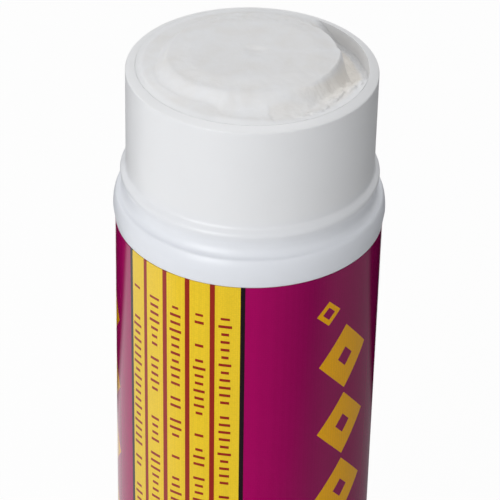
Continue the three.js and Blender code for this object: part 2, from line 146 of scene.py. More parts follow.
@contextmanager
def editing(piece: Piece, mode: str = "VERT") -> Iterator[None]:
    """Opens a piece in edit mode with nothing selected, and leaves edit mode at the end.

    Args:
        piece: The object to edit.
        mode: Kind of element that is selected: VERT or FACE.
    """
    take(piece)
    bpy.ops.object.mode_set(mode="EDIT")
    bpy.ops.mesh.select_mode(type=mode)
    bpy.ops.mesh.select_all(action="DESELECT")
    yield
    bpy.ops.object.mode_set(mode="OBJECT")


def pick(piece: Piece, test: Callable[..., bool], kind: str = "verts") -> None:
    """Selects the elements that a test picks, and nothing else, in edit mode.

    Args:
        piece: The object in edit mode.
        test: Says whether an element is wanted.
        kind: What is tested: verts or faces.
    """
    bpy.ops.mesh.select_all(action="DESELECT")
    shape = bmesh.from_edit_mesh(piece.data)
    for element in [one for one in getattr(shape, kind) if test(one)]:
        element.select_set(True)
    shape.select_flush_mode()
    bmesh.update_edit_mesh(piece.data)


def settle(piece: Piece) -> None:
    """Moves an object's own place into its mesh, so that the object sits at the origin."""
    take(piece)
    bpy.ops.object.transform_apply(location=True, rotation=True, scale=True)


def face_outwards() -> None:
    """Merges the doubles of the mesh in edit mode and turns its faces outwards."""
    bpy.ops.mesh.select_all(action="SELECT")
    bpy.ops.mesh.remove_doubles(threshold=MERGE_DISTANCE)
    bpy.ops.mesh.normals_make_consistent(inside=False)


def finish_skin(piece: Piece) -> None:
    """Merges doubles, turns the faces outwards and smooths all but the crisp edges."""
    with editing(piece):
        face_outwards()
    bpy.ops.object.shade_smooth_by_angle(angle=math.radians(CRISP_ANGLE))


def drawn(name: str, points: Sequence[Vector]) -> Piece:
    """Draws a chain of edges: a plane is merged to one point, which is extruded on and on.

    Args:
        name: Name of the new object.
        points: The chain's points in metres.

    Returns:
        The new object.
    """
    clear_selection()
    bpy.ops.mesh.primitive_plane_add(size=MM, location=(0, 0, 0))
    piece = bpy.context.active_object
    piece.name = name
    with editing(piece):
        bpy.ops.mesh.select_all(action="SELECT")
        bpy.ops.mesh.merge(type="CENTER")
        bpy.ops.transform.translate(value=points[0])
        for before, after in zip(points, points[1:]):
            bpy.ops.mesh.extrude_region_move(TRANSFORM_OT_translate={"value": after - before})
    return piece


def turned(name: str, outline: Sequence[Corner], sides: int = 192, closed: bool = True) -> Piece:
    """Turns an outline round the upright axis into one skin, as on a lathe.

    Args:
        name: Name of the new object.
        outline: Corners in order.
        sides: Facets in a full circle.
        closed: Whether an outline with an end off the axis closes on itself.

    Returns:
        The new object.
    """
    points = [Vector((corner.radius, 0, corner.height)) * MM for corner in outline]
    piece = drawn(name, points)
    with editing(piece):
        if closed and (outline[0].radius > 0 or outline[-1].radius > 0):
            pick(piece, lambda vert: len(vert.link_edges) == 1)
            bpy.ops.mesh.edge_face_add()
        for index, corner in enumerate(outline):
            if corner.rounding > 0:
                here, back, on = (points[(index + step) % len(points)] for step in (0, -1, 1))
                half = (back - here).angle(on - here) / 2
                pick(piece, lambda vert: (vert.co - here).length < MERGE_DISTANCE)
                bpy.ops.mesh.bevel(
                    offset_type="OFFSET", offset=corner.rounding * MM / math.tan(half),
                    segments=CORNER_CHORDS, profile=0.5, affect="VERTICES",
                )
        bpy.ops.mesh.select_all(action="SELECT")
        bpy.ops.mesh.spin(steps=sides, angle=FULL_TURN, center=(0, 0, 0), axis=(0, 0, 1))
    return piece


def front_block(
    name: str, width: float, far: float, near: float, bottom: float, top: float, shift: float = 0.0
) -> Piece:
    """Makes an upright block at the front, with its sizes in millimetres.

    Args:
        name: Name of the new object.
        width: Width across.
        far: Distance of its front face from the axis.
        near: Distance of its back face from the axis.
        bottom: Height of its foot.
        top: Height of its top.
        shift: How far its edge nearest the axis is raised at the foot or, where this is negative,
            lowered at the top.

    Returns:
        The new object.
    """
    clear_selection()
    bpy.ops.mesh.primitive_cube_add(
        size=1, location=(0, -(far + near) / 2 * MM, (bottom + top) / 2 * MM),
        scale=(width * MM, (far - near) * MM, (top - bottom) * MM),
    )
    piece = bpy.context.active_object
    piece.name = name
    settle(piece)
    if shift:
        edge = Vector((0, -near, bottom if shift > 0 else top)) * MM
        with editing(piece):
            pick(piece, lambda vert: (vert.co.yz - edge.yz).length < MERGE_DISTANCE)
            bpy.ops.transform.translate(value=(0, 0, shift * MM))
    return piece


def copies_round(model: Piece, count: int, first_angle: float = 0.0) -> Piece:
    """Copies a piece round the axis, each copy with its own mesh, and joins them all.

    Args:
        model: The piece, modelled at the front with its place in its mesh.
        count: How many there are in all.
        first_angle: Angle of the first one.

    Returns:
        The model, which now holds all of them.
    """
    made = [model]
    for index in range(1, count):
        one = bpy.data.objects.new(f"{model.name}_{index + 1}", model.data.copy())
        bpy.context.scene.collection.objects.link(one)
        made.append(one)
    for index, one in enumerate(made):
        angle = math.radians(first_angle) + index * FULL_TURN / count
        one.data.transform(Matrix.Rotation(angle, 4, "Z"))
    take(*made)
    bpy.ops.object.join()
    return model


def carve(piece: Piece, tool: Piece, operation: str) -> None:
    """Cuts a tool out of a piece or adds it, and removes the tool.

    Args:
        piece: The object to change.
        tool: The cutting or added object.
        operation: DIFFERENCE or UNION.
    """
    cut = piece.modifiers.new("carve", "BOOLEAN")
    cut.operation, cut.solver, cut.object = operation, "EXACT", tool
    take(piece)
    bpy.ops.object.modifier_apply(modifier=cut.name)
    bpy.data.objects.remove(tool)


def smoothstep(value: float, low: float, high: float) -> float:
    """Rises from 0 at low to 1 at high with a soft start and end."""
    share = min(max((value - low) / (high - low), 0.0), 1.0)
    return share * share * (3 - 2 * share)


def blend(first: float, second: float, share: float) -> float:
    """Goes straight from the first value at a share of 0 to the second at 1."""
    return first + (second - first) * share


def value_at(line: Line, angle: float) -> float:
    """Reads a line drawn round the axis, with soft bends between its points.

    Args:
        line: The line's points.
        angle: Angle in degrees.

    Returns:
        The value there.
    """
    for (start, first), (end, last) in zip(line, line[1:]):
        if angle <= end:
            return blend(first, last, smoothstep(angle, start, end))
    return line[-1][1]


def relief(x: float, y: float, layer: float, waves: Waves) -> float:
    """Adds up smooth chance relief at a place, from a layer of its own for each use."""
    return sum(height * noise.noise(Vector((x, y, layer)) * scale) for height, scale in waves)


def relief_round(angle: float, layer: float, waves: Waves) -> float:
    """Adds up chance relief at an angle, so that it closes on itself round the axis."""
    return relief(math.sin(math.radians(angle)), math.cos(math.radians(angle)), layer, waves)


def new_material(name: str) -> tuple[Material, Adder]:
    """Makes an empty node material.

    Args:
        name: Name of the material.

    Returns:
        The material, and add_node for its tree.
    """
    material = bpy.data.materials.new(name)
    material.use_nodes = True
    material.node_tree.nodes.clear()
    return material, partial(add_node, material.node_tree)


def wear(piece: Piece, material: Material) -> None:
    """Gives a piece one material in place of what it had."""
    piece.data.materials.clear()
    piece.data.materials.append(material)


def dress(piece: Piece, finish: Material, node: str, body: Body) -> None:
    """Gives a new piece its finish and makes it stand for its node and ride on its body.

    Args:
        piece: The new piece.
        finish: Its material.
        node: The node that it replaces.
        body: The body that it rides on.
    """
    wear(piece, finish)
    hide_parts(node)
    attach(piece, body.value)


@dataclass(frozen=True)
class MouldedWhite:
    """Injection-moulded white polypropylene.

    Titanium white in a slightly translucent resin: an even cool white, a little warmer in the
    neck, whose wall is thin over the glue. It has a satin gloss from the polished mould, broad
    shallow waves where the wall shrank, a fine skin texture, and faint rubbing marks up and down
    from the cap.
    """

    colour: str = "#e6e9ef"
    over_glue: str = "#e9eaec"
    neck_from: float = 92.0
    neck_to: float = 97.0
    roughness: float = 0.34
    rubbed_roughness: float = 0.46
    ior: float = 1.49
    skin_size: float = 0.22
    wave_size: float = 5.0
    rub_size: float = 0.3
    rub_stretch: float = 0.04

    def make(self) -> Material:
        """Builds the material.

        Returns:
            The finished material.
        """
        material, add = new_material("moulded_white_polypropylene")
        place = add("TexCoord", {}, "Object")
        upright = add("Mapping", {"Vector": place, "Scale": (1, 1, self.rub_stretch)})
        waves, skin, rubbing = (
            add("TexNoise", {"Vector": at, "Scale": 1 / (size * MM), "Detail": detail})
            for at, size, detail in (
                (place, self.wave_size, 1.0), (place, self.skin_size, 2.0),
                (upright, self.rub_size, 3.0),
            )
        )
        rubbed = add("MapRange", {"Value": rubbing, "From Min": 0.56, "From Max": 0.8})
        thin = add("MapRange", {
            "Value": add("SeparateXYZ", {0: place}, "Z"),
            "From Min": self.neck_from * MM, "From Max": self.neck_to * MM,
        })
        resin = add("Mix", {
            "data_type": "RGBA", "Factor": thin, COLOUR_A: hex_to_linear(self.colour),
            COLOUR_B: hex_to_linear(self.over_glue),
        }, COLOUR_RESULT)
        shrunk = add("MapRange", {"Value": waves, "To Min": 0.99, "To Max": 1.01})
        colour = add("VectorMath", {"operation": "SCALE", "Vector": resin, "Scale": shrunk})
        gloss = add("MapRange", {
            "Value": rubbed, "To Min": self.roughness, "To Max": self.rubbed_roughness
        })
        shallow = add("Bump", {"Height": waves, "Strength": 0.25, "Distance": 0.12 * MM})
        grained = add("Bump", {
            "Height": skin, "Normal": shallow, "Strength": 0.25, "Distance": 0.008 * MM
        })
        scuffed = add("Bump", {
            "Height": rubbed, "Normal": grained, "Strength": 0.2, "Distance": 0.006 * MM
        })
        shader = add("BsdfPrincipled", {
            "Base Color": colour, "Roughness": gloss, "Normal": scuffed, "IOR": self.ior,
            "Subsurface Weight": 0.08, "Subsurface Scale": 0.6 * MM,
            "Subsurface Radius": (1.0, 1.0, 1.05),
        })
        add("OutputMaterial", {"Surface": shader})
        return material


@dataclass(frozen=True)
class MouldedNatural:
    """Injection-moulded polypropylene with no pigment.

    A cloudy, greyish white that light enters deeply, duller than the white parts, with soft flow
    clouds from the gate and a fine matt skin.
    """

    colour: str = "#dcdfde"
    cloud: str = "#cfd3d3"
    clear_roughness: float = 0.37
    cloud_roughness: float = 0.5
    ior: float = 1.49
    cloud_size: float = 3.0
    skin_size: float = 0.3

    def make(self) -> Material:
        """Builds the material.

        Returns:
            The finished material.
        """
        material, add = new_material("moulded_natural_polypropylene")
        place = add("TexCoord", {}, "Object")
        clouds = add("TexNoise", {
            "Vector": place, "Scale": 1 / (self.cloud_size * MM), "Detail": 3.0, "Distortion": 0.6
        })
        skin = add("TexNoise", {
            "Vector": place, "Scale": 1 / (self.skin_size * MM), "Detail": 2.0
        })
        colour = add("Mix", {
            "data_type": "RGBA", "Factor": clouds, COLOUR_A: hex_to_linear(self.colour),
            COLOUR_B: hex_to_linear(self.cloud),
        }, COLOUR_RESULT)
        gloss = add("MapRange", {
            "Value": clouds, "To Min": self.clear_roughness, "To Max": self.cloud_roughness
        })
        grained = add("Bump", {"Height": skin, "Strength": 0.3, "Distance": 0.012 * MM})
        shader = add("BsdfPrincipled", {
            "Base Color": colour, "Roughness": gloss, "Normal": grained, "IOR": self.ior,
            "Subsurface Weight": 0.35, "Subsurface Scale": 1.4 * MM,
            "Subsurface Radius": (1.0, 1.0, 0.95),
        })
        add("OutputMaterial", {"Surface": shader})
        return material


class FilmPlace(NamedTuple):
    """Sockets, in millimetres, that say where a point lies on the film.

    They are the distance round it from the front, the same with the second panel laid over the
    first, and the distance below its top edge.
    """

    across: Socket
    folded: Socket
    down: Socket


@dataclass(frozen=True)
class PrintedFilm:
    """Printed polypropylene film under a clear varnish.

    Flat inks, printed as fine dots that grain the colour a little: a magenta ground, darker to the
    right as painted shade, a yellow panel between black lines, dark red rules and ticks on it, and
    bold yellow diamonds. The varnish over them gives a clear, fairly sharp gloss.
    """

    radius: float = 15.29
    top: float = 88.6
    bottom: float = 12.6
    lean: float = 0.0082
    ground: str = "#a8085f"
    # painted shade: the ground turns to this darker magenta across the span below, to the right,
    # the side away from the key light
    ground_in_painted_shade: str = "#8b0a52"
    painted_shade_span: tuple[float, float] = (1.0, 8.0)
    panel: str = "#efcb30"
    motif: str = "#eaa90a"
    rule: str = "#9a2c22"
    line: str = "#241a20"
    panel_left: float = -15.41
    panel_right: float = -0.71
    second_panel: float = 42.14
    fold_at: float = 6.0
    line_width: float = 0.48
    rule_pitch: float = 3.01
    rule_at: float = -3.88
    rule_width: float = 0.56
    ramp_margin: float = 1.0
    tick_pitch: float = 1.05
    tick_offset: float = 0.37
    tick_margin: float = 0.34
    tick_share: float = 0.22
    tick_growth: float = 0.5
    tick_inset: float = 0.2
    tick_end: float = 0.3
    tick_from: float = 4.2
    diamond_at: float = 12.64
    diamond_half_width: float = 3.93
    diamond_shift: float = -36.3
    diamond_pitch: float = 9.6
    diamond_first: float = 12.4
    diamond_rows: int = 6
    diamond_gap: float = 0.35
    diamond_ring: tuple[float, float] = (0.65, 0.35)
    column_half_width: float = 6.0
    small_at: tuple[float, float] = (9.87, 5.3)
    small_ring: tuple[float, float] = (1.25, 0.4)
    foot_bands: tuple[tuple[float, float], ...] = ((4.6, 0.35), (3.0, 0.9))
    dot_size: float = 0.26
    drift_size: float = 9.0
    ripple_size: float = 6.0

    def make(self) -> Material:
        """Builds the material.

        Returns:
            The finished material.
        """
        material, add = new_material("varnished_printed_film")
        place = add("TexCoord", {}, "Object")
        axes = add("SeparateXYZ", {0: place}).node.outputs
        front = add("Math", {"operation": "MULTIPLY", 0: axes["Y"], 1: -1.0})
        turn = add("Math", {"operation": "ARCTAN2", 0: axes["X"], 1: front})
        arc = add("Math", {"operation": "MULTIPLY", 0: turn, 1: self.radius})
        down = add("MapRange", {
            "clamp": False, "Value": axes["Z"], "From Min": self.top * MM,
            "From Max": self.bottom * MM, "To Max": self.top - self.bottom,
        })
        across = add("Math", {"operation": "MULTIPLY_ADD", 0: down, 1: -self.lean, 2: arc})
        past = add("Math", {"operation": "GREATER_THAN", 0: across, 1: self.fold_at})
        folded = add("Math", {
            "operation": "MULTIPLY_ADD", 0: past, 1: -self.second_panel, 2: across
        })
        at = FilmPlace(across, folded, down)
        ink = self.stripes(add, at)
        for hue, mask in ((self.rule, self.ticks(add, at)), (self.motif, self.motifs(add, at))):
            ink = add("Mix", {
                "data_type": "RGBA", "Factor": mask, COLOUR_A: ink, COLOUR_B: hex_to_linear(hue)
            }, COLOUR_RESULT)
        self.varnish(add, place, ink)
        return material

    def stripes(self, add: Adder, at: FilmPlace) -> Socket:
        """Lays the ground, the panel between its lines and the rules side by side.

        The ground darkens to the right as painted shade.

        Args:
            add: Adds a node to the material.
            at: Place on the film.

        Returns:
            The colour.
        """
        low, high = self.panel_left - self.ramp_margin, self.panel_right + self.ramp_margin
        spread = add("MapRange", {"Value": at.folded, "From Min": low, "From Max": high})
        line, panel, rule = (hex_to_linear(c) for c in (self.line, self.panel, self.rule))
        stops = [(self.panel_left - self.line_width, line), (self.panel_left, panel)]
        for index in (3, 2, 1, 0):
            start = self.rule_at - index * self.rule_pitch - self.rule_width / 2
            stops += [(start, rule), (start + self.rule_width, panel)]
        stops += [(self.panel_right, line), (self.panel_right + self.line_width, BARE)]
        laid = add("ValToRGB", {0: spread}).node
        laid.color_ramp.interpolation = "CONSTANT"
        marks = laid.color_ramp.elements
        marks.remove(marks[1])
        marks[0].color = BARE
        for start, colour in stops:
            marks.new((start - low) / (high - low)).color = colour
        # painted shade: darkens the ground over the span towards the shaded right side
        painted_shade = add("MapRange", {
            "Value": at.across, "From Min": self.painted_shade_span[0], "From Max": self.painted_shade_span[1]
        })
        ground = add("Mix", {
            "data_type": "RGBA", "Factor": painted_shade, COLOUR_A: hex_to_linear(self.ground),
            COLOUR_B: hex_to_linear(self.ground_in_painted_shade),
        }, COLOUR_RESULT)
        return add("Mix", {
            "data_type": "RGBA", "Factor": laid.outputs["Alpha"], COLOUR_A: ground,
            COLOUR_B: laid.outputs["Color"],
        }, COLOUR_RESULT)

    def ticks(self, add: Adder, at: FilmPlace) -> Socket:
        """Lays rows of plain ticks of two heights between the rules, with gaps by chance.

        Args:
            add: Adds a node to the material.
            at: Place on the film.

        Returns:
            1 on a tick and 0 elsewhere.
        """
        from_rule = add("Math", {"operation": "SUBTRACT", 0: at.across, 1: self.rule_at})
        bricks = add("TexBrick", {
            "offset": self.tick_offset, "offset_frequency": 1, "Color1": (1, 1, 1, 1),
            "Color2": (0, 0, 0, 1), "Mortar": (0, 0, 0, 1), "Scale": 1.0,
            "Mortar Size": self.tick_margin, "Mortar Smooth": 0.0,
            "Brick Width": self.tick_pitch, "Row Height": self.rule_pitch,
            "Vector": add("CombineXYZ", {0: at.down, 1: from_rule}),
        })
        half_pitch = self.rule_pitch / 2
        middle = add("Math", {"operation": "PINGPONG", 0: from_rule, 1: half_pitch})
        reach = add("Math", {
            "operation": "MULTIPLY_ADD", 0: bricks, 1: self.tick_growth, 2: middle
        })
        half_panel = (self.panel_right - self.panel_left) / 2
        mask = add("Math", {"operation": "GREATER_THAN", 0: bricks, 1: self.tick_share})
        for limit in (
            {"operation": "GREATER_THAN", 0: reach, 1: half_pitch - self.tick_end},
            {"operation": "COMPARE", 0: at.folded, 1: self.panel_left + half_panel,
             2: half_panel - self.tick_inset},
            {"operation": "GREATER_THAN", 0: at.down, 1: self.tick_from},
        ):
            mask = add("Math", {"operation": "MULTIPLY", 0: mask, 1: add("Math", limit)})
        return mask

    def motifs(self, add: Adder, at: FilmPlace) -> Socket:
        """Lays two columns of bold hollow diamonds, a small one and two bands at the foot.

        Args:
            add: Adds a node to the material.
            at: Place on the film.

        Returns:
            1 on a motif and 0 elsewhere.
        """
        half_pitch = self.diamond_pitch / 2
        half_shift = abs(self.diamond_shift) / 2
        half_length = half_pitch - self.diamond_gap
        spot = add("CombineXYZ", {0: at.across, 1: at.down})
        from_first, from_small = (
            add("VectorMath", {"operation": "SUBTRACT", 0: spot, 1: (*centre, 0)})
            for centre in ((self.diamond_at, self.diamond_first), self.small_at)
        )
        repeated = add("VectorMath", {
            "operation": "WRAP", 0: from_first, 1: (half_shift, half_pitch, 1),
            2: (-half_shift, -half_pitch, -1),
        })
        diamonds, small = (
            add("Math", {
                "operation": "COMPARE", 1: ring[0], 2: ring[1],
                0: add("VectorMath", {
                    "operation": "DOT_PRODUCT", 1: (1 / half_width, 1 / half_height, 0),
                    0: add("VectorMath", {"operation": "ABSOLUTE", 0: away}),
                }, "Value"),
            })
            for away, half_width, half_height, ring in (
                (repeated, self.diamond_half_width, half_length, self.diamond_ring),
                (from_small, 1, 1, self.small_ring),
            )
        )
        along = self.diamond_rows * half_pitch
        column = add("Math", {
            "operation": "COMPARE", 0: at.down, 1: self.diamond_first - half_pitch + along, 2: along
        })
        both = add("Math", {
            "operation": "COMPARE", 0: at.across, 1: self.diamond_at + self.diamond_shift / 2,
            2: half_shift + self.column_half_width,
        })
        placed = add("Math", {"operation": "MULTIPLY", 0: column, 1: both})
        bold = add("Math", {"operation": "MULTIPLY", 0: diamonds, 1: placed})
        mask = add("Math", {"operation": "MAXIMUM", 0: bold, 1: small})
        for height, half_width in self.foot_bands:
            middle = self.top - self.bottom - height
            band = add("Math", {"operation": "COMPARE", 0: at.down, 1: middle, 2: half_width})
            mask = add("Math", {"operation": "MAXIMUM", 0: mask, 1: band})
        return mask

    def varnish(self, add: Adder, place: Socket, ink: Socket) -> None:
        """Breaks the ink into fine dots and lays the varnish over it.

        Args:
            add: Adds a node to the material.
            place: Object coordinates.
            ink: Colour of the print.
        """
        dots = add("TexVoronoi", {
            "feature": "F1", "Vector": place, "Scale": 1 / (self.dot_size * MM), "Randomness": 0.35
        })
        dotted = add("MapRange", {
            "Value": dots, "From Min": 0.2, "From Max": 0.7, "To Min": 1.03, "To Max": 0.93
        })
        drift, ripple = (
            add("TexNoise", {"Vector": place, "Scale": 1 / (size * MM), "Detail": 2.0})
            for size in (self.drift_size, self.ripple_size)
        )
        cloudy = add("MapRange", {"Value": drift, "To Min": 0.97, "To Max": 1.03})
        grain = add("Math", {"operation": "MULTIPLY", 0: dotted, 1: cloudy})
        printed = add("VectorMath", {"operation": "SCALE", "Vector": ink, "Scale": grain})
        rippled = add("Bump", {"Height": ripple, "Strength": 0.2, "Distance": 0.04 * MM})
        gloss = add("MapRange", {"Value": drift, "To Min": 0.1, "To Max": 0.15})
        shader = add("BsdfPrincipled", {
            "Base Color": printed, "Roughness": gloss, "Normal": rippled, "IOR": 1.5,
            "Coat Weight": 0.05, "Coat Roughness": 0.05, "Coat IOR": 1.5,
        })
        add("OutputMaterial", {"Surface": shader})


@dataclass(frozen=True)
class SoapGelGlue:
    """Set glue: a stiff soap gel of polymer and water.

    Cast white, waxy and a little translucent, so light enters and rounds the forms off. Where it
    has torn, the fresh inside is a little warmer and wetter, with a crumbly grain, and its colour
    there is lightened as painted light, for light passing through the gel into the shaded torn
    faces. A thin smear of it at the rim is paler.
    """

    colour: str = "#ebecee"
    cloud: str = "#e6e5e4"
    # painted light: the torn colour's warm tint is the glue's own, but it is made lighter to stand
    # in for light that passes through the gel into the shaded torn faces
    torn: str = "#ede9e3"
    smear: str = "#eff0f2"
    ior: float = 1.45
    cloud_size: float = 3.2
    grain_size: float = 0.3

    def make(self) -> Material:
        """Builds the material.

        Returns:
            The finished material.
        """
        material, add = new_material("set_soap_gel_glue")
        place = add("TexCoord", {}, "Object")
        tear, rim = (
            add("Attribute", {"attribute_type": "GEOMETRY", "attribute_name": name}, "Fac")
            for name in ("tear", "rim")
        )
        clouds = add("TexNoise", {
            "Vector": place, "Scale": 1 / (self.cloud_size * MM), "Detail": 4.0, "Distortion": 0.4
        })
        grain = add("TexNoise", {
            "Vector": place, "Scale": 1 / (self.grain_size * MM), "Detail": 3.0, "Roughness": 0.6
        })
        patchy = add("MapRange", {"Value": clouds, "From Min": 0.35, "From Max": 0.75})
        colour = hex_to_linear(self.colour)
        # the torn colour mixed in here is partly painted light, lighter than the fresh glue's own
        for share, hue in ((patchy, self.cloud), (tear, self.torn), (rim, self.smear)):
            colour = add("Mix", {
                "data_type": "RGBA", "Factor": share, COLOUR_A: colour,
                COLOUR_B: hex_to_linear(hue),
            }, COLOUR_RESULT)
        gloss = add("MapRange", {"Value": tear, "To Min": 0.55, "To Max": 0.4})
        depth = add("MapRange", {"Value": tear, "To Min": 0.2, "To Max": 0.5})
        grained = add("Bump", {"Height": grain, "Strength": depth, "Distance": 0.06 * MM})
        lumpy = add("Bump", {
            "Height": clouds, "Normal": grained, "Strength": 0.1, "Distance": 0.1 * MM
        })
        shader = add("BsdfPrincipled", {
            "Base Color": colour, "Roughness": gloss, "Normal": lumpy, "IOR": self.ior,
            "Subsurface Weight": 0.12, "Subsurface Scale": 0.8 * MM,
            "Subsurface Radius": (1.0, 0.98, 0.95),
        })
        add("OutputMaterial", {"Surface": shader})
        return material


@dataclass
class Barrel:
    """White moulded tube with a reduced neck, a snap bead, an inner floor and four guide ribs."""

    body_radius: float = 15.5
    band_radius: float = 15.28
    recess_radius: float = 15.16
    neck_radius: float = 14.05
    bead_radius: float = 14.78
    bore_radius: float = 12.95
    skirt_radius: float = 13.2
    hole_radius: float = 4.5
    foot: float = 9.9
    floor_bottom: float = 13.9
    floor_top: float = 15.5
    wrap_bottom: float = 12.5
    wrap_top: float = 88.7
    shoulder: float = 92.15
    shoulder_depth: float = 0.55
    shoulder_drop: float = 1.9
    shoulder_chords: int = 8
    cove_radius: float = 14.3
    cove_rise: float = 0.25
    bead: float = 94.9
    bead_lower_flank: float = 1.2
    bead_upper_flank: float = 0.7
    lip: float = 108.0
    lip_slope: float = 0.38
    rib_count: int = 4
    rib_width: float = 1.4
    rib_height: float = 0.6
    rib_root: float = 0.4
    rib_top: float = 93.0
    rib_taper: float = 2.5

    def outline(self) -> list[Corner]:
        """Returns the corners of the barrel's wall, up the outside and down the inside."""
        return [
            Corner(self.body_radius, self.foot, 0.3),
            Corner(self.band_radius, self.wrap_bottom, 0.04),
            Corner(self.recess_radius, self.wrap_bottom),
            Corner(self.recess_radius, self.wrap_top),
            Corner(self.band_radius, self.wrap_top, 0.04),
            *self.round_shoulder(),
            Corner(self.cove_radius, self.shoulder + self.cove_rise, 1.3),
            Corner(self.cove_radius, self.bead - self.bead_lower_flank, 0.9),
            Corner(self.bead_radius, self.bead, 0.5),
            Corner(self.neck_radius, self.bead + self.bead_upper_flank, 0.6),
            Corner(self.neck_radius, self.lip - self.lip_slope, 0.2),
            Corner(self.bore_radius, self.lip, 0.03),
            Corner(self.bore_radius, self.floor_top, 0.2),
            Corner(self.hole_radius, self.floor_top, 0.1),
            Corner(self.hole_radius, self.floor_bottom, 0.1),
            Corner(self.skirt_radius, self.floor_bottom, 0.2),
            Corner(self.skirt_radius, self.foot, 0.15),
        ]

    def round_shoulder(self) -> list[Corner]:
        """Returns the shoulder's upright quarter ellipse, from the wall up to the ledge."""
        steps = self.shoulder_chords
        return [
            Corner(
                self.body_radius - self.shoulder_depth * (1 - math.cos(turn)),
                self.shoulder - self.shoulder_drop * (1 - math.sin(turn)),
            )
            for turn in [math.pi / 2 * step / steps for step in range(steps + 1)]
        ]

    def build(self, finish: Material) -> Piece:
        """Turns the wall, adds the ribs, whose upper ends slope into it, and dresses the barrel.

        Args:
            finish: Material of the barrel.

        Returns:
            The barrel.
        """
        barrel = turned("barrel_skin", self.outline())
        finish_skin(barrel)
        rib = front_block(
            "rib", self.rib_width, self.bore_radius + self.rib_root,
            self.bore_radius - self.rib_height, self.floor_top - self.rib_root, self.rib_top,
            -self.rib_taper,
        )
        carve(barrel, copies_round(rib, self.rib_count, 180 / self.rib_count), "UNION")
        finish_skin(barrel)
        dress(barrel, finish, "barrel", Body.BARREL)
        return barrel


@dataclass
class LabelWrap:
    """Printed film rolled round the barrel, with a seam at the back."""

    inner_radius: float = 15.19
    thickness: float = 0.1
    bottom: float = 12.6
    top: float = 88.6
    seam: float = 0.7
    steps: int = 190
    rows: int = 6

    def build(self, finish: Material) -> Piece:
        """Rolls the strip, gives it its thickness and dresses it.

        Args:
            finish: Material of the wrap.

        Returns:
            The wrap.
        """
        half_seam = self.seam / 2 / self.inner_radius
        start = math.pi / 2 + half_seam
        edge = Vector((math.cos(start), math.sin(start), 0)) * self.inner_radius * MM
        rise = (self.top - self.bottom) / self.rows
        heights = [self.bottom + rise * row for row in range(self.rows + 1)]
        wrap = drawn("label_film", [edge + Vector((0, 0, height * MM)) for height in heights])
        with editing(wrap):
            bpy.ops.mesh.select_all(action="SELECT")
            bpy.ops.mesh.spin(
                steps=self.steps, angle=FULL_TURN - 2 * half_seam, center=(0, 0, 0), axis=(0, 0, 1)
            )
            face_outwards()
        first = wrap.data.polygons[0]
        faces_out = first.normal.dot(Vector((first.center.x, first.center.y, 0))) > 0
        wall = wrap.modifiers.new("film", "SOLIDIFY")
        wall.thickness = self.thickness * MM
        wall.offset = 1.0 if faces_out else -1.0
        bpy.ops.object.modifier_apply(modifier=wall.name)
        finish_skin(wrap)
        dress(wrap, finish, "label_wrap", Body.BARREL)
        return wrap


@dataclass
class TurningKnob:
    """Fluted knob at the base, with a ring inside the barrel's skirt and a hub on six webs."""

    radius: float = 15.5
    height: float = 9.5
    wall: float = 2.0
    plate: float = 1.6
    spigot_radius: float = 12.9
    spigot_wall: float = 1.3
    spigot_top: float = 12.7
    hub_radius: float = 4.8
    hub_bottom: float = 2.6
    hub_top: float = 13.6
    socket: float = 5.5
    web_count: int = 6
    web_thickness: float = 1.0
    web_bottom: float = 1.8
    web_rise: float = 0.8
    web_root: float = 0.8
    flute_count: int = 36
    flute_radius: float = 0.85
    flute_depth: float = 0.45
    flute_margin: float = 1.5
    flute_end: float = 0.55
    sides: int = 216

    def outline(self) -> list[Corner]:
        """Returns the corners of the knob, from the axis below round the outside to the axis."""
        inner = self.radius - self.wall
        under = self.height - self.plate
        ring = self.spigot_radius - self.spigot_wall
        return [
            Corner(0, self.hub_bottom),
            Corner(self.hub_radius, self.hub_bottom, 0.2),
            Corner(self.hub_radius, under, 0.3),
            Corner(inner, under, 0.6),
            Corner(inner, 0, 0.3),
            Corner(self.radius, 0, 0.5),
            Corner(self.radius, self.height, 0.5),
            Corner(self.spigot_radius, self.height, 0.2),
            Corner(self.spigot_radius, self.spigot_top, 0.25),
            Corner(ring, self.spigot_top, 0.15),
            Corner(ring, self.height, 0.2),
            Corner(self.hub_radius, self.height, 0.3),
            Corner(self.hub_radius, self.hub_top, 0.2),
            Corner(0, self.hub_top),
        ]

    def flute(self) -> Piece:
        """Models the cutter for one flute at the front, with rounded ends.

        Returns:
            The cutter.
        """
        clear_selection()
        distance = self.radius + self.flute_radius - self.flute_depth
        bpy.ops.mesh.primitive_cylinder_add(
            vertices=24, radius=self.flute_radius * MM,
            depth=(self.height - 2 * self.flute_margin) * MM,
            location=(0, -distance * MM, self.height / 2 * MM),
        )
        flute = bpy.context.active_object
        flute.name = "flute"
        settle(flute)
        with editing(flute, "FACE"):
            pick(flute, lambda face: abs(face.normal.z) > 0.9, "faces")
            bpy.ops.mesh.bevel(
                offset_type="OFFSET", offset=self.flute_end * self.flute_radius * MM, segments=4,
                profile=0.5, affect="EDGES",
            )
        return flute

    def build(self, finish: Material) -> Piece:
        """Turns the knob, adds the webs, cuts the flutes and the drive socket, and dresses it.

        Args:
            finish: Material of the knob.

        Returns:
            The knob.
        """
        knob = turned("knob_skin", self.outline(), sides=self.sides)
        finish_skin(knob)
        web = front_block(
            "web", self.web_thickness, self.radius - self.wall / 2,
            self.hub_radius - self.web_root, self.web_bottom, self.height - self.web_root,
            self.web_rise,
        )
        carve(knob, copies_round(web, self.web_count), "UNION")
        flutes = copies_round(self.flute(), self.flute_count, 180 / self.flute_count)
        carve(knob, flutes, "DIFFERENCE")
        half = self.socket / 2
        socket = front_block("socket", self.socket, half, -half, 0, self.hub_top + OVERRUN)
        carve(knob, socket, "DIFFERENCE")
        finish_skin(knob)
        dress(knob, finish, "turning_knob", Body.KNOB)
        return knob


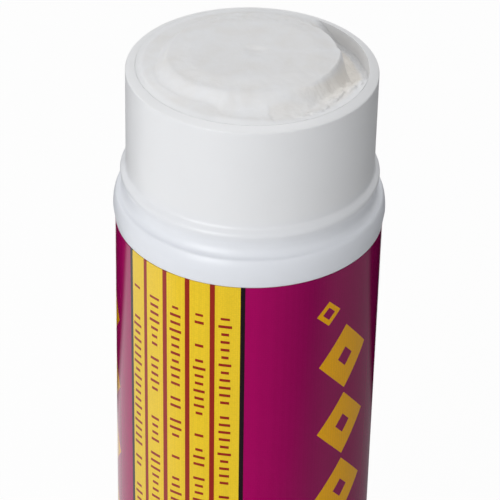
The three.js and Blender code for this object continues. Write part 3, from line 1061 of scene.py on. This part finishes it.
class Flake(NamedTuple):
    """One curl of glue left standing on the torn edge: place, half sizes, lie and height."""

    angle: float
    radius: float
    half_length: float
    half_width: float
    lean: float
    height: float


class Grain(NamedTuple):
    """A layer of fine relief: its number, its height on smooth and on torn glue, and its scale."""

    layer: float
    smooth: float
    torn: float
    scale: float


@dataclass
class GlueColumn:
    """The stick of glue: a raised middle shaped by the cap, a slope, and a torn edge at the right.

    The lines give, for each angle, the radius of the raised middle's edge, that of the slope's
    foot, the foot's height over the lip, the radius at which the torn corner ends, and how torn
    the glue is.
    """

    radius: float = 12.935
    base: float = 32.25
    plug_radius: float = 11.3
    plug_bottom: float = 24.15
    nut_radius: float = 5.45
    nut_top: float = 30.75
    bore_radius: float = 3.35
    bore_top: float = 102.8
    bore_cone: float = 1.5
    lip: float = 108.0
    fin_count: int = 8
    fin_width: float = 1.4
    fin_top: float = 27.65
    fin_overlap: float = 0.5
    notch_count: int = 4
    notch_width: float = 2.0
    notch_inner: float = 12.05
    notch_top: float = 98.3
    notch_taper: float = 2.5
    sides: int = 480
    side_rows: tuple[float, ...] = (99.5, 60)
    free_rows: tuple[float, ...] = (0, 0.1, 0.3, 0.6, 1)
    free_side: float = 4.6
    inner_rings: int = 30
    fine_from: float = 7.2
    fine_rings: int = 88
    crisp_angle: float = 70
    plateau_rise: float = 1.4
    crown: float = 0.3
    wiped: float = 0.25
    wiped_width: float = 0.35
    edge_line: Line = (
        (-180, 9.6), (-120, 9.5), (-90, 9.6), (-60, 9.65), (-42, 9.45), (-28, 8.9), (-12, 8.3),
        (8, 8.2), (30, 8.5), (52, 9.1), (72, 9.5), (86, 9.75), (93, 10.05), (102, 9.85),
        (125, 9.9), (150, 9.9), (180, 9.6),
    )
    foot_line: Line = (
        (-180, 11.6), (-120, 10.9), (-92, 10.6), (-72, 11.2), (-55, 11.5), (-42, 11.2),
        (-28, 10.5), (-22, 10.7), (-15, 12.0), (5, 12.2), (30, 11.7), (50, 10.5), (66, 10.35),
        (80, 10.5), (92, 10.9), (125, 10.7), (150, 11.0), (180, 11.6),
    )
    floor_line: Line = (
        (-180, 0.05), (-130, 0.25), (-90, 0.45), (-60, 0.55), (-35, 0.5), (-15, 0.28), (10, 0.14),
        (35, 0.06), (50, 0.0), (66, -0.35), (80, -1.2), (94, -2.2), (130, -2.0), (149, 0.0),
        (180, 0.05),
    )
    ledge_line: Line = (
        (-180, 11.0), (50, 10.6), (65, 11.05), (75, 11.75), (82, 13.3), (180, 13.3)
    )
    torn_line: Line = (
        (-180, 0.0), (26, 0.0), (60, 0.8), (80, 1.0), (135, 1.0), (152, 0.0), (180, 0.0)
    )
    edge_wander: Waves = ((0.1, 3), (0.05, 9))
    edge_bite: Waves = ((0.14, 11), (0.04, 26))
    edge_width: float = 0.35
    crown_width: float = 3.0
    foot_wander: Waves = ((0.25, 5),)
    floor_relief: Waves = ((0.25, 8),)
    floor_depths: Span = (0.2, 1.0)
    ledge_wander: Waves = ((0.3, 12),)
    ledge_step: Span = (-0.2, 0.12)
    ledge_width: float = 0.3
    chip_begins: Span = (9.5, 11.7)
    chip_ends: Span = (46.0, 60.0)
    chip_radii: Span = (9.4, 10.6)
    chip_closes: Span = (12.2, 12.8)
    chip_ragged: Waves = ((1.6, 1),)
    chip_depth: float = 0.08
    chip_tear: float = 0.25
    shrink_begins: Span = (-150.0, -120.0)
    shrink_ends: Span = (-73.0, -48.0)
    shrink_radii: Span = (12.2, 12.4)
    shrink_closes: Span = (12.6, 12.9)
    shrink_wander: Waves = ((0.15, 0.8),)
    shrink_depth: float = 0.05
    tear_step: Span = (-0.1, 0.4)
    back_angles: Span = (130.0, 150.0)
    back_radii: Span = (6.5, 8.5)
    back_share: float = 0.5
    smear_radii: Span = (11.9, 12.6)
    grains: tuple[Grain, ...] = (
        Grain(3.1, 0.03, 0.03, 0.35), Grain(8.4, 0.02, 0.12, 1.5), Grain(5.2, 0.006, 0.05, 4.5)
    )
    dimple_at: Span = (0.3, 0.6)
    dimple_half_width: float = 1.7
    dimple_front: float = 2.2
    dimple_back: float = 0.7
    dimple_depth: float = 0.16
    flake_ragged: Waves = ((0.35, 1.9), (0.18, 6))
    flake_relief: Waves = ((0.08, 2.5),)
    flake_curl: float = 0.12
    flake_rim: Span = (0.7, 1.1)
    flakes: tuple[Flake, ...] = (
        Flake(29, 11.9, 0.9, 0.3, 12, 0.08),
        Flake(35, 12.0, 0.9, 0.4, -8, 0.12),
        Flake(42, 11.8, 0.7, 0.36, 20, 0.07),
        Flake(51, 11.4, 0.9, 0.4, -14, 0.14),
        Flake(57, 11.3, 0.9, 0.36, 8, 0.09),
        Flake(67, 11.8, 0.9, 0.4, -12, 0.15),
        Flake(74, 12.2, 0.7, 0.36, 10, 0.1),
    )
    flake_reach: float = 2.2

    def rings(self) -> list[Corner]:
        """Returns the flat top's rings, from the axis out to the rim, close together outside."""
        radii = [self.fine_from * i / self.inner_rings for i in range(self.inner_rings)]
        steps = range(self.fine_rings + 1)
        radii += [blend(self.fine_from, self.radius, i / self.fine_rings) for i in steps]
        return [Corner(radius, self.lip) for radius in radii]

    def outline(self) -> list[Corner]:
        """Returns the plain column's corners: side, plug, and the bore in its middle."""
        heights = [self.lip - self.free_side * share for share in self.free_rows]
        return [
            Corner(0, self.lip),
            *[Corner(self.radius, height) for height in (*heights, *self.side_rows, self.base)],
            Corner(self.plug_radius, self.base),
            Corner(self.plug_radius, self.plug_bottom),
            Corner(self.nut_radius, self.plug_bottom),
            Corner(self.nut_radius, self.nut_top),
            Corner(self.bore_radius, self.nut_top),
            Corner(self.bore_radius, self.bore_top),
            Corner(0, self.bore_top + self.bore_cone),
        ]

    def chipped_at(self, angle: float, radius: float) -> float:
        """Says how far a thin layer has come off the lower slope at the front right.

        Args:
            angle: Angle in degrees.
            radius: Distance from the axis in millimetres.

        Returns:
            0 where it hasn't, up to 1.
        """
        ragged = relief(radius * 1.5, 0.7, 2.2, self.chip_ragged)
        begun = smoothstep(angle + ragged, *self.chip_begins)
        ended = smoothstep(angle, *self.chip_ends)
        return begun * (1 - ended) * smoothstep(radius, *self.chip_radii)

    def edge_at(self, angle: float) -> float:
        """Gives the radius of the raised middle's edge, which is bitten where it has torn.

        Args:
            angle: Angle in degrees.

        Returns:
            The radius in millimetres.
        """
        wander = relief_round(angle, 0.3, self.edge_wander)
        bite = value_at(self.torn_line, angle) * relief_round(angle, 0.3, self.edge_bite)
        return value_at(self.edge_line, angle) + wander + bite

    def side_height(self, angle: float, radius: float) -> float:
        """Gives the height over the lip of the formed top, before its small features.

        Args:
            angle: Angle in degrees.
            radius: Distance from the axis in millimetres.

        Returns:
            The height in millimetres.
        """
        edge = self.edge_at(angle)
        foot = value_at(self.foot_line, angle) + relief_round(angle, 1.7, self.foot_wander)
        floor = value_at(self.floor_line, angle)
        sunk = smoothstep(-floor, *self.floor_depths)
        floor -= relief_round(angle, 1.7, self.floor_relief) * sunk
        crown = self.crown * (1 - smoothstep(radius, edge - self.crown_width, edge))
        bank = max(floor, 0.0) * (radius - foot) / (self.radius - foot)
        slope = smoothstep(radius, edge - self.edge_width, foot)
        height = blend(self.plateau_rise + crown, floor, slope) - max(bank, 0.0)
        ledge = value_at(self.ledge_line, angle) + relief_round(angle, 1.7, self.ledge_wander)
        left = smoothstep(radius - ledge, *self.ledge_step)
        return blend(height, max(height, 0.0), left)

    def flake_lift(self, flake: Flake, x: float, y: float, height: float) -> float:
        """Raises the glue to a flake's top where a point lies on the flake.

        Args:
            flake: The flake.
            x: Place across in millimetres.
            y: Place towards the back in millimetres.
            height: Height over the lip without the flake.

        Returns:
            The height with it.
        """
        turn = math.radians(flake.angle)
        aside = Vector((x - flake.radius * math.sin(turn), y + flake.radius * math.cos(turn)))
        if aside.length > self.flake_reach:
            return height
        heading = turn + math.radians(flake.lean)
        along = (aside.x * math.cos(heading) + aside.y * math.sin(heading)) / flake.half_length
        over = (aside.x * math.sin(heading) - aside.y * math.cos(heading)) / flake.half_width
        ragged = relief(x, y, flake.angle, self.flake_ragged)
        curl = self.flake_curl * over + relief(x, y, 4.4, self.flake_relief)
        share = 1 - smoothstep(math.hypot(along, over) + ragged, *self.flake_rim)
        return blend(height, max(height, flake.height + curl), share)

    def dimple(self, x: float, y: float) -> float:
        """Gives the depth of the sink mark at a place, steeper at its back than at its front.

        Args:
            x: Place across in millimetres.
            y: Place towards the back in millimetres.

        Returns:
            The depth in millimetres.
        """
        across, along = x - self.dimple_at[0], y - self.dimple_at[1]
        half_length = self.dimple_back if along > 0 else self.dimple_front
        away = math.hypot(across / self.dimple_half_width, along / half_length)
        return self.dimple_depth * (1 - smoothstep(away, 0.0, 1.0))

    def sculpt(self, x: float, y: float) -> tuple[float, float, float]:
        """Gives the height of the glue's top at a place, and how torn and how thin it is there.

        Args:
            x: Place across in millimetres.
            y: Place towards the back in millimetres.

        Returns:
            The height over the lip in millimetres, the share of torn glue and the share of smear.
        """
        radius = math.hypot(x, y)
        angle = math.degrees(math.atan2(x, -y))
        torn = value_at(self.torn_line, angle)
        height = self.side_height(angle, radius) - self.dimple(x, y)
        chipped = self.chipped_at(angle, radius) * (1 - torn)
        height -= self.chip_depth * chipped * (1 - smoothstep(radius, *self.chip_closes))
        shrunk = smoothstep(angle, *self.shrink_begins)
        shrunk *= 1 - smoothstep(angle, *self.shrink_ends)
        shrunk *= smoothstep(radius - relief(x, y, 6.6, self.shrink_wander), *self.shrink_radii)
        height -= self.shrink_depth * shrunk * (1 - smoothstep(radius, *self.shrink_closes))
        outer = smoothstep(radius - self.edge_at(angle), *self.tear_step)
        ledge = value_at(self.ledge_line, angle)
        kept = smoothstep(radius, ledge, max(self.radius, ledge + self.ledge_width))
        broken = max(torn * outer * (1 - kept), self.chip_tear * chipped)
        back = smoothstep(abs(angle), *self.back_angles) * smoothstep(radius, *self.back_radii)
        coarse = max(broken, self.back_share * back)
        for layer, smooth, rough, scale in self.grains:
            height += relief(x, y, layer, ((blend(smooth, rough, coarse), scale),))
        for flake in self.flakes:
            height = self.flake_lift(flake, x, y, height)
        wall = self.wiped * smoothstep(radius, self.radius - self.wiped_width, self.radius) ** 2
        height = max(height, min(height + wall, 0.0))
        smear = smoothstep(radius, *self.smear_radii)
        return min(height, self.plateau_rise + self.crown), broken, smear

    def build(self, finish: Material) -> Piece:
        """Turns the plain column, cuts it to its neighbours, shapes its top and dresses it.

        Args:
            finish: Material of the glue.

        Returns:
            The glue.
        """
        column = turned("glue_stick_column", self.outline(), sides=self.sides)
        finish_skin(column)
        fin = front_block(
            "fin_slot", self.fin_width, self.plug_radius + self.fin_overlap,
            self.nut_radius - self.fin_overlap, self.plug_bottom - OVERRUN, self.fin_top,
        )
        carve(column, copies_round(fin, self.fin_count), "DIFFERENCE")
        notch = front_block(
            "notch", self.notch_width, self.radius + OVERRUN, self.notch_inner,
            self.base - OVERRUN, self.notch_top, -self.notch_taper,
        )
        notches = copies_round(notch, self.notch_count, 180 / self.notch_count)
        carve(column, notches, "DIFFERENCE")
        lid = (self.lip - REACHED) * MM
        with editing(column, "FACE"):
            pick(column, lambda face: face.calc_center_median().z > lid, "faces")
            bpy.ops.mesh.delete(type="FACE")
        take(column, turned("glue_top", self.rings(), sides=self.sides, closed=False))
        bpy.ops.object.join()
        finish_skin(column)
        self.shape_top(column)
        bpy.ops.object.shade_smooth_by_angle(angle=math.radians(self.crisp_angle))
        dress(column, finish, "glue_column", Body.LIFT)
        return column

    def shape_top(self, glue: Piece) -> None:
        """Lifts the top's points to their sculpted heights and records how torn each one is.

        Args:
            glue: The plain column.
        """
        records = []
        lowest = self.lip - self.free_side
        for vert in glue.data.vertices:
            x, y, z = (c / MM for c in vert.co)
            torn, smear = 0.0, 0.0
            if z > self.lip - REACHED:
                height, torn, smear = self.sculpt(x, y)
                vert.co.z = (self.lip + height) * MM
            elif z > lowest + REACHED and math.hypot(x, y) > self.radius - 0.1:
                scale = self.radius / math.hypot(x, y)
                height, torn, _ = self.sculpt(x * scale, y * scale)
                vert.co.z = blend(self.lip + height, lowest, (self.lip - z) / self.free_side) * MM
            records.append((torn, smear))
        for name, values in zip(("tear", "rim"), zip(*records)):
            attribute = glue.data.attributes.new(name, "FLOAT", "POINT")
            attribute.data.foreach_set("value", values)
        glue.data.update()


class Softbox(NamedTuple):
    """A square soft light: name, angle round the axis, height above the horizon, and its level.

    At a level of 1 it makes a white surface that faces it render as white.
    """

    name: str
    angle: float
    rise: float
    level: float


@dataclass
class Studio:
    """Plain pale floor, soft lights, and glowing floor sheets that paint reflections in gloss.

    Its lengths are in metres.
    """

    floor_size: float = 6.0
    ambient: float = 0.435
    floor_colour: str = "#d8d9da"
    shadow_share: float = 0.06
    # painted reflections: the sheets glow for glossy rays alone, a pale band beside the stick,
    # brighter on the left than the right, and white behind it, in place of lit and shaded
    # surroundings
    reflection_hole: float = 0.02
    reflection_reach: float = 60.0
    reflection_rise: float = 0.0005
    reflection_depth: float = 0.2
    reflection_band: Line = ((-0.08, 0.0), (-0.03, 1.0), (0.072, 1.0), (0.082, 0.0))
    left_reflection: float = 0.73
    right_reflection: float = 0.17
    back_reflection_spread: float = 0.36
    softboxes: tuple[Softbox, ...] = (
        Softbox("key", -32, 9, 0.3), Softbox("upper_key", -32, 25, 0.25),
        Softbox("back", 180, 65, 0.23),
    )
    softbox_distance: float = 0.65
    softbox_size: float = 0.36
    aim_height: float = 0.085

    def build(self) -> None:
        """Makes the floor, the cards, the world and the lights."""
        self.make_floor()
        self.make_painted_reflections()
        self.make_world()
        for box in self.softboxes:
            self.hang(box)

    def seen(self, add: Adder) -> Socket:
        """Picks the rays that see the background: camera, glossy and transmission rays.

        Args:
            add: Adds a node to the floor's material or the world.

        Returns:
            1 for such a ray and 0 for the rest.
        """
        rays = add("LightPath", {}).node.outputs
        mirrored = add("Math", {
            "operation": "MAXIMUM", 0: rays["Is Glossy Ray"], 1: rays["Is Transmission Ray"]
        })
        return add("Math", {"operation": "MAXIMUM", 0: rays["Is Camera Ray"], 1: mirrored})

    def make_floor(self) -> None:
        """Makes the floor, white to the camera but for a share that takes the shadow."""
        clear_selection()
        bpy.ops.mesh.primitive_plane_add(size=self.floor_size, location=(0, 0, 0))
        floor = bpy.context.active_object
        floor.name = "studio_floor"
        material, add = new_material("studio_paper")
        seen = self.seen(add)
        share = add("Math", {"operation": "MULTIPLY", 0: seen, 1: 1 - self.shadow_share})
        tint = add("Mix", {
            "data_type": "RGBA", "Factor": seen, COLOUR_A: hex_to_linear(self.floor_colour),
            COLOUR_B: (1, 1, 1, 1),
        }, COLOUR_RESULT)
        paper = add("BsdfDiffuse", {"Color": tint})
        white = add("Emission", {"Strength": 1.0})
        add("OutputMaterial", {"Surface": add("MixShader", {0: share, 1: paper, 2: white})})
        wear(floor, material)

    def make_painted_reflections(self) -> None:
        """Lays pale and dark glowing sheets round the stick, as painted reflections in its gloss.
        """
        clear_selection()
        bpy.ops.mesh.primitive_circle_add(
            vertices=96, radius=self.reflection_hole, location=(0, 0, self.reflection_rise)
        )
        reflection_sheets = bpy.context.active_object
        reflection_sheets.name = "studio_reflection_sheets"
        settle(reflection_sheets)
        with editing(reflection_sheets):
            bpy.ops.mesh.select_all(action="SELECT")
            bpy.ops.mesh.extrude_edges_move()
            bpy.ops.transform.resize(value=(self.reflection_reach, self.reflection_reach, 1))
        material, add = new_material("painted_reflection")
        axes = add("SeparateXYZ", {0: add("TexCoord", {}, "Object")}).node.outputs
        half = self.reflection_depth
        depth = add("MapRange", {"Value": axes["Y"], "From Min": -half, "From Max": half})
        band = add("ValToRGB", {0: depth})
        stops = band.node.color_ramp.elements
        for end in (0, 1):
            stops[end].color = (0, 0, 0, 1)
        for y, level in self.reflection_band:
            stops.new((y + half) / (2 * half)).color = (level, level, level, 1)
        # painted reflection: the band is brighter on the lit left than on the shaded right
        side = add("MapRange", {
            "Value": axes["X"], "From Min": -self.reflection_hole, "From Max": self.reflection_hole,
            "To Min": self.left_reflection, "To Max": self.right_reflection,
        })
        beside = add("Math", {"operation": "MULTIPLY", 0: band, 1: side})
        away = add("Math", {"operation": "ABSOLUTE", 0: axes["X"]})
        reach = add("Math", {"operation": "MULTIPLY", 0: axes["Y"], 1: self.back_reflection_spread})
        behind = add("Math", {"operation": "LESS_THAN", 0: away, 1: reach})
        level = add("Math", {"operation": "MAXIMUM", 0: beside, 1: behind})
        glow = add("Emission", {"Color": (1, 1, 1, 1), "Strength": level})
        add("OutputMaterial", {"Surface": glow})
        wear(reflection_sheets, material)
        # hidden from all rays but glossy ones, so the sheets show only as painted reflections
        for ray in ("camera", "diffuse", "transmission", "volume_scatter", "shadow"):
            setattr(reflection_sheets, f"visible_{ray}", False)

    def make_world(self) -> None:
        """Makes surroundings that are white to the eye and a low even light to the object."""
        world = bpy.data.worlds.new("studio")
        bpy.context.scene.world = world
        world.use_nodes = True
        world.node_tree.nodes.clear()
        add = partial(add_node, world.node_tree)
        strength = add("MapRange", {
            "Value": self.seen(add), "To Min": self.ambient, "To Max": 1.0
        })
        sky = add("Background", {"Color": (1, 1, 1, 1), "Strength": strength})
        add("OutputWorld", {"Surface": sky})

    def hang(self, box: Softbox) -> None:
        """Hangs a soft light so that it faces the open end of the stick.

        Args:
            box: The light.
        """
        turn, lift = math.radians(box.angle), math.radians(box.rise)
        level, up = math.cos(lift), math.sin(lift)
        away = Vector((math.sin(turn) * level, -math.cos(turn) * level, up))
        data = bpy.data.lights.new(box.name, "AREA")
        data.shape = "SQUARE"
        data.size = self.softbox_size
        data.energy = box.level * math.pi**2 * self.softbox_distance**2
        lamp = bpy.data.objects.new(box.name, data)
        bpy.context.scene.collection.objects.link(lamp)
        lamp.location = Vector((0, 0, self.aim_height)) + away * self.softbox_distance
        lamp.rotation_euler = away.to_track_quat("Z", "Y").to_euler()
        lamp.visible_camera = False


@dataclass
class PhotoCamera:
    """The camera at the photograph's place, fitted to edges of the neck, the wrap and the glue."""

    eye: tuple[float, float, float] = (0.22, -252.99, 252.12)
    pitch: float = 33.687
    roll: float = 1.359
    focal_pixels: float = 2633.66
    image_pixels: float = 500.0
    sensor: float = 36.0

    def build(self) -> None:
        """Places the camera and makes it the scene's own."""
        data = bpy.data.cameras.new("photo_camera")
        data.sensor_width = self.sensor
        data.lens = self.focal_pixels * self.sensor / self.image_pixels
        data.clip_start, data.clip_end = 0.01, 20
        camera = bpy.data.objects.new("photo_camera", data)
        bpy.context.scene.collection.objects.link(camera)
        down, lean = math.radians(self.pitch), math.radians(self.roll)
        right = Vector((1, 0, 0))
        up = Vector((0, math.sin(down), math.cos(down)))
        back = Vector((0, -math.cos(down), math.sin(down)))
        across = math.cos(lean) * right + math.sin(lean) * up
        upward = -math.sin(lean) * right + math.cos(lean) * up
        turn = Matrix((across, upward, back)).transposed()
        camera.matrix_world = Matrix.Translation(Vector(self.eye) * MM) @ turn.to_4x4()
        bpy.context.scene.camera = camera


def main() -> None:
    """Builds and dresses every piece in order, then the studio, and reports each piece."""
    logging.basicConfig(level=logging.INFO, format="%(message)s")
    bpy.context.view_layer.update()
    bpy.context.scene.view_settings.view_transform = "Standard"
    PhotoCamera().build()
    white, natural = MouldedWhite().make(), MouldedNatural().make()
    for maker, finish in (
        (Barrel(), white), (LabelWrap(), PrintedFilm().make()), (TurningKnob(), white),
        (GlueColumn(), SoapGelGlue().make()),
    ):
        piece = maker.build(finish)
        log.info("%s: %d faces", piece.name, len(piece.data.polygons))
    for name in ("threaded_spindle", "carrier"):
        wear(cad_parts[name], natural)
        log.info("%s: carried over", name)
    Studio().build()


if __name__ == "__main__":
    main()
